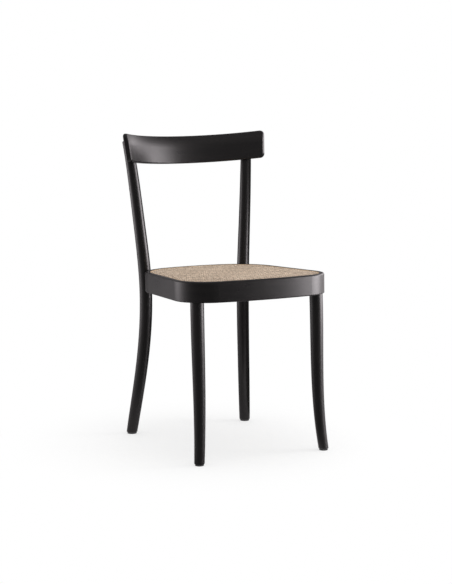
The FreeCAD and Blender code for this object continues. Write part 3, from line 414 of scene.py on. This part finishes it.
# Cane spline: a round-topped rattan reed, driven into the ring's groove over the cane's edge
# and glued there. Its fibres run along it, and it is left matt and unstained.
REED_DARK = (0.42, 0.28, 0.17, 1)
REED_LIGHT = (0.62, 0.47, 0.31, 1)
REED_DARK_AT = 0.3
REED_LIGHT_AT = 0.7
REED_ROUGHNESS = 0.5
FIBRES = ((12, 1500, 1500), 3.0, 0.6)
FIBRE_STRENGTH = 0.3
FIBRE_DEPTH = 0.0001


def reed():
    """The reed's core: noise drawn out along it gives both its shade and its relief."""
    material, tree, shader = new_finish("reed")
    around = round_the_seat(tree, place_on_chair(tree))
    fibre = drawn_out(tree, around, *FIBRES)
    settle(tree, shader, Roughness=REED_ROUGHNESS,
           Base_Color=shades(tree, fibre, REED_DARK_AT, REED_DARK, REED_LIGHT_AT, REED_LIGHT),
           Normal=relief(tree, fibre, FIBRE_STRENGTH, FIBRE_DEPTH))
    return material


finish_nodes(reed(), "cane_spline")


# Front legs: turned beech, each with a tenon up into the ring, and the blocks that are glued and
# screwed inside the ring over them. The grain runs up and down, under the ring's stain and
# lacquer.
def down_the_leg(tree, place):
    """x is the height, y and z the place across the leg."""
    x, y, z = split(tree, place)
    return join(tree, z, x, y)


finish_nodes(stained_beech("front_leg_beech", down_the_leg), "front_leg_left", "front_leg_right",
             "corner_block_left", "corner_block_right")

# Rear legs: steam-bent beech, each one long piece from the foot past the seat to the top of
# the back rail, so the grain follows the bend. Small wooden plugs in them hide the rail's
# screws.
BEND_LEVEL = 0.428
BEND_OUT = 0.19
BEND_BACK = 0.25


def down_the_bend(tree, place):
    """x is the height, y and z the place across the leg, less the bend, which grows with the
    square of the height over or under the seat joint."""
    x, y, z = split(tree, place)
    over = maths(tree, "SUBTRACT", z, BEND_LEVEL)
    square = maths(tree, "MULTIPLY", over, over)
    out = maths(tree, "SUBTRACT", maths(tree, "ABSOLUTE", x),
                maths(tree, "MULTIPLY", square, BEND_OUT))
    back = maths(tree, "SUBTRACT", y, maths(tree, "MULTIPLY", square, BEND_BACK))
    return join(tree, z, out, back)


finish_nodes(stained_beech("rear_leg_beech", down_the_bend), "rear_leg_left", "rear_leg_right",
             "back_rail_plugs")

# Back rail: a beech board bent to the sitter's back and let into the posts. The grain runs
# along its curve, under the same stain and lacquer.
RAIL_AXIS = (0, -0.0295, 0.8146)
RAIL_TIP = math.radians(9.6)
RAIL_RADIUS = 0.27


def along_the_rail(tree, place):
    """About the axis of the rail's curve, which tips back: x is the angle round it times its
    radius, y the distance from it, the root of x and y squared and summed, and z the height."""
    axis = node(tree, "ShaderNodeMapping", vector_type="TEXTURE", Vector=place,
                Location=RAIL_AXIS, Rotation=(-RAIL_TIP, 0, 0))
    x, y, z = split(tree, axis.outputs[0])
    turn = maths(tree, "MULTIPLY", maths(tree, "ARCTAN2", x, y), RAIL_RADIUS)
    squares = [maths(tree, "MULTIPLY", side, side) for side in (x, y)]
    return join(tree, turn, maths(tree, "POWER", maths(tree, "ADD", *squares), 0.5), z)


finish_nodes(stained_beech("rail_beech", along_the_rail), "back_rail")

# Fastenings: zinc-plated bolts, washers, screws and nails, and turned brass inserts in the
# rear legs. Both metals are a little uneven in colour and shine.
METALS = {
    "zinc_steel": ((0.56, 0.57, 0.58, 1), 0.32,
                   ("front_leg_screws", "corner_block_screws", "rear_leg_bolts",
                    "rear_leg_washers", "back_rail_screws", "glide_nails")),
    "insert_brass": ((0.72, 0.53, 0.25, 1), 0.3, ("rear_leg_inserts",)),
}
SPANGLES = (700.0, 2.0, 0.5)
SPANGLE_DIM = 0.8
SPANGLE_HAZE = 0.16


def spangled_metal(name, colour, roughness):
    """Fine noise dims the colour and swings the roughness."""
    material, tree, shader = new_finish(name)
    spangle = noise(tree, place_on_chair(tree), *SPANGLES)
    dimmed = tuple(SPANGLE_DIM * part for part in colour[:3]) + (1,)
    settle(tree, shader, Metallic=1.0, Base_Color=mixed(tree, spangle, colour, dimmed),
           Roughness=maths(tree, "ADD", swing(tree, spangle, SPANGLE_HAZE), roughness))
    return material


for label, (colour, roughness, names) in METALS.items():
    finish_nodes(spangled_metal(label, colour, roughness), *names)

# Glides: moulded black polyamide discs, nailed under the feet. The plastic has a fine matt
# texture, scuffed a little by the floor.
GLIDE_BLACK = (0.018, 0.018, 0.018, 1)
GLIDE_SCUFFED = (0.030, 0.030, 0.030, 1)
GLIDE_ROUGHNESS = 0.55
GLIDE_HAZE = 0.2
PEBBLES = (2600.0, 2.0, 0.5)
PEBBLE_STRENGTH = 0.25
PEBBLE_DEPTH = 0.00005


def pebbled_plastic():
    """One fine noise gives the plastic's scuffs, its shine and its relief."""
    material, tree, shader = new_finish("glide_plastic")
    pebble = noise(tree, place_on_chair(tree), *PEBBLES)
    settle(tree, shader, Base_Color=mixed(tree, pebble, GLIDE_BLACK, GLIDE_SCUFFED),
           Roughness=maths(tree, "ADD", swing(tree, pebble, GLIDE_HAZE), GLIDE_ROUGHNESS),
           Normal=relief(tree, pebble, PEBBLE_STRENGTH, PEBBLE_DEPTH))
    return material


finish_nodes(pebbled_plastic(), "glide_front_left", "glide_front_right", "glide_rear_left",
             "glide_rear_right")

# Studio floor: a wide sheet of white paper. Far from the chair it is plain white, and near
# the legs it is matt paper that takes the chair's shadow.
FLOOR_HALF = 14.0
PAPER = (0.93, 0.93, 0.93, 1)
PAPER_ROUGHNESS = 0.9
PAPER_SHINE = 0.1
FADE_START = 0.20
FADE_END = 0.60
NEAR_WHITE = 0.62
PLAIN_WHITE = (1, 1, 1, 1)
SQUARE = np.array([[0, 1, 2, 3]])


def seen_directly(tree):
    """1 where the camera sees a point, straight, in a reflection or through glass, else 0."""
    rays = node(tree, "ShaderNodeLightPath").outputs
    return maths(tree, "MAXIMUM", rays["Is Camera Ray"],
                 maths(tree, "MAXIMUM", rays["Is Glossy Ray"], rays["Is Transmission Ray"]))


def show(tree, surface):
    """Makes a shader's output the material's surface."""
    tree.links.new(surface, tree.nodes["Material Output"].inputs["Surface"])


def floor_paper():
    """Matt paper, over which plain white is laid for what the camera sees, in a share that
    grows smoothly with the distance from the chair."""
    material, tree, shader = new_finish("floor_paper")
    settle(tree, shader, Base_Color=PAPER, Roughness=PAPER_ROUGHNESS,
           Specular_IOR_Level=PAPER_SHINE)
    far = node(tree, "ShaderNodeVectorMath", operation="LENGTH", Vector=place_on_chair(tree))
    fade = node(tree, "ShaderNodeMapRange", interpolation_type="SMOOTHSTEP",
                Value=far.outputs["Value"], From_Min=FADE_START, From_Max=FADE_END,
                To_Min=NEAR_WHITE)
    white = node(tree, "ShaderNodeEmission", Color=PLAIN_WHITE, Strength=1.0)
    blend = node(tree, "ShaderNodeMixShader")
    share = maths(tree, "MULTIPLY", seen_directly(tree), fade.outputs["Result"])
    for entry, value in zip(blend.inputs, (share, shader.outputs[0], white.outputs[0])):
        feed(tree, entry, value)
    show(tree, blend.outputs[0])
    return material


corners = np.array(((-1, -1, 0), (1, -1, 0), (1, 1, 0), (-1, 1, 0)), float) * FLOOR_HALF
floor = mesh_piece("floor", corners, [SQUARE], smooth=False)
floor.data.materials.append(floor_paper())

# Studio light: an even white room with lamps overhead and to the right. Round the chair stand
# a tent and two cards that only the lacquer sees, in its reflections: bright to the right, a
# narrower bright stretch to the left rear, and dark in front, behind and overhead.
ROOM_LEVEL = 0.65
LAMP_AIM = Vector((0, 0, 0.45))
world = bpy.data.worlds.new("studio")
bpy.context.scene.world = world
world.use_nodes = True
tree = world.node_tree
level = maths(tree, "ADD", maths(tree, "MULTIPLY", seen_directly(tree), 1 - ROOM_LEVEL), ROOM_LEVEL)
settle(tree, tree.nodes["Background"], Color=PLAIN_WHITE, Strength=level)


def lamp(name, place, width, height, radiance):
    """A square-cornered area lamp at a place, facing the seat. Its power is its radiance
    times pi times its area."""
    light = bpy.data.lights.new(name, "AREA")
    light.shape = "RECTANGLE"
    light.size, light.size_y = width, height
    light.energy = radiance * math.pi * width * height
    made = bpy.data.objects.new(name, light)
    made.location = place
    made.rotation_euler = (LAMP_AIM - Vector(place)).to_track_quat("-Z", "Y").to_euler()
    made.visible_camera = made.visible_glossy = False
    bpy.context.scene.collection.objects.link(made)


lamp("lamp_over", (0.1, -0.2, 2.4), width=1.8, height=1.8, radiance=2.2)
lamp("lamp_right", (1.8, -0.7, 0.9), width=0.8, height=1.1, radiance=5.0)

# Each glow of the tent is a profile over azimuths in degrees, 0 in front and 90 to the right.
# The disc's places are shares of the tent's radius, and the cap's are angles in radians.
TENT_RADIUS = 1.9
TENT_FOOT = 0.004
TENT_WALL_TOP = 1.6
TENT_CAP_RISE = 1.2
TENT_TINT = (1.0, 0.94, 0.965, 1)
DISC_INNER = 0.01
DISC_OUTER = 0.9
CAP_START = 0.1
CAP_END = 1.56
TENT_AZIMUTHS = 145
DISC_ROWS = 6
WALL_ROWS = 33
CAP_ROWS = 14
CARD_X = 0.235
CARD_REAR = 0.50
FLOOR_GLOW = ((-180, 0.3), (-135, 0.5), (-110, 0.5), (-90, 0.38), (-70, 0.2), (-45, 0.12),
              (0, 0.12), (20, 0.3), (40, 0.7), (80, 0.75), (110, 0.6), (180, 0.3))
WALL_GLOW = ((-180, 0.03), (-162, 0.03), (-151, 1.0), (-144, 2.7), (-130, 4.0), (-114, 2.4),
             (-104, 1.1), (-88, 0.4), (-70, 0.16), (-30, 0.12), (-12, 0.14), (10, 0.26),
             (20, 0.48), (32, 0.9), (40, 2.3), (46, 8.8), (54, 12.4), (66, 11.0), (75, 7.6),
             (84, 3.3), (94, 1.7), (120, 0.8), (138, 0.14), (154, 0.14), (159, 0.3),
             (170, 0.3), (180, 0.03))
HIGH_WALL_GLOW = ((-180, 0.25), (-150, 0.6), (-142, 1.1), (-114, 1.1), (-104, 0.4), (-88, 0.2),
                  (-70, 0.1), (-12, 0.1), (10, 0.18), (20, 0.3), (32, 0.56), (40, 1.4),
                  (48, 4.8), (58, 8.6), (76, 7.8), (86, 4.8), (98, 3.2), (122, 2.6),
                  (136, 0.3), (180, 0.25))
CANOPY_GLOW = ((-180, 0.5), (-100, 0.5), (-75, 0.35), (-45, 0.25), (0, 0.25), (20, 0.35),
               (35, 0.6), (55, 1.3), (75, 1.1), (115, 0.7), (138, 0.4), (180, 0.5))
SKY_GLOW = ((-180, 0.33), (180, 0.33))
TENT_LEVELS = ((WALL_GLOW, 0.05, 0.3), (HIGH_WALL_GLOW, 0.5, 0.9), (CANOPY_GLOW, 1.2, 1.6),
               (SKY_GLOW, 1.6, 2.2))


def tent():
    """A closed tent round the chair: a disc on the floor, an upright cylinder, and a quarter
    ellipse over it, whose angle goes from the wall to the top. Its glow starts as the floor's
    profile, and each level of the tent takes over evenly between its two heights."""
    azimuth = np.radians(np.linspace(-180, 180, TENT_AZIMUTHS))
    disc = np.linspace(DISC_INNER, DISC_OUTER, DISC_ROWS)
    wall = np.linspace(TENT_FOOT, TENT_WALL_TOP, WALL_ROWS)
    cap = np.sin(np.linspace(CAP_START, CAP_END, CAP_ROWS))
    rise = np.concatenate([np.full(DISC_ROWS, TENT_FOOT), wall,
                           TENT_WALL_TOP + TENT_CAP_RISE * cap])
    reach = TENT_RADIUS * np.concatenate([disc, np.ones(WALL_ROWS), np.sqrt(1 - cap ** 2)])
    points = np.stack([reach[:, None] * np.sin(azimuth), -reach[:, None] * np.cos(azimuth),
                       np.broadcast_to(rise[:, None], (len(rise), len(azimuth)))], -1)
    k = (np.arange(len(rise) - 1)[:, None] * len(azimuth) + np.arange(len(azimuth) - 1)).ravel()
    over = k + len(azimuth)
    glow = np.interp(np.degrees(azimuth), *np.transpose(FLOOR_GLOW))[None]
    for profile, start, stop in TENT_LEVELS:
        level = np.interp(np.degrees(azimuth), *np.transpose(profile))
        glow = glow + (level - glow) * np.interp(rise, (start, stop), (0, 1))[:, None]
    return mesh_piece("surround", points, [np.stack([k, over, over + 1, k + 1], -1)],
                      glow=glow.ravel())


def card(name, front, low, high):
    """An upright card to the right of the rear legs, from front to the cards' rear edge."""
    corners = np.array(((CARD_X, front, low), (CARD_X, CARD_REAR, low),
                        (CARD_X, CARD_REAR, high), (CARD_X, front, high)))
    return mesh_piece(name, corners, [SQUARE], smooth=False)


def only_mirrored(piece, colour, glow):
    """A glowing studio piece that only reflections see. Its glow is a number, or the name of
    the mark that holds it."""
    material, tree, _ = new_finish(piece.name)
    if isinstance(glow, str):
        glow = node(tree, "ShaderNodeAttribute", attribute_name=glow).outputs["Fac"]
    show(tree, node(tree, "ShaderNodeEmission", Color=colour, Strength=glow).outputs[0])
    piece.data.materials.append(material)
    piece.visible_camera = piece.visible_diffuse = piece.visible_shadow = False
    piece.visible_transmission = piece.visible_volume_scatter = False


only_mirrored(tent(), TENT_TINT, "glow")
only_mirrored(card("flag_low", front=-0.08, low=0.0, high=0.39), PLAIN_WHITE, 0.03)
only_mirrored(card("flag_high", front=0.08, low=0.39, high=0.76), PLAIN_WHITE, 0.1)

# Camera: the photograph's own place, height and lens, found from the chair's outline. The
# frame is upright, so its height in pixels is what the sensor's width is spread over.
EYE = Vector((-2.0795, -3.9111, 1.0193))
AIM = Vector((0.00442, -0.01641, 0.40478))
SENSOR_MM = 36
FRAME_HEIGHT_PIXELS = 584
LENS_PIXELS = 1680.48
FARTHEST = 60
camera = bpy.data.objects.new("camera", bpy.data.cameras.new("camera"))
bpy.context.scene.collection.objects.link(camera)
camera.location = EYE
camera.rotation_euler = (AIM - EYE).to_track_quat("-Z", "Y").to_euler()
camera.data.sensor_width = SENSOR_MM
camera.data.lens = SENSOR_MM * LENS_PIXELS / FRAME_HEIGHT_PIXELS
camera.data.clip_end = FARTHEST
bpy.context.scene.camera = camera
bpy.context.scene.view_settings.view_transform = "Standard"
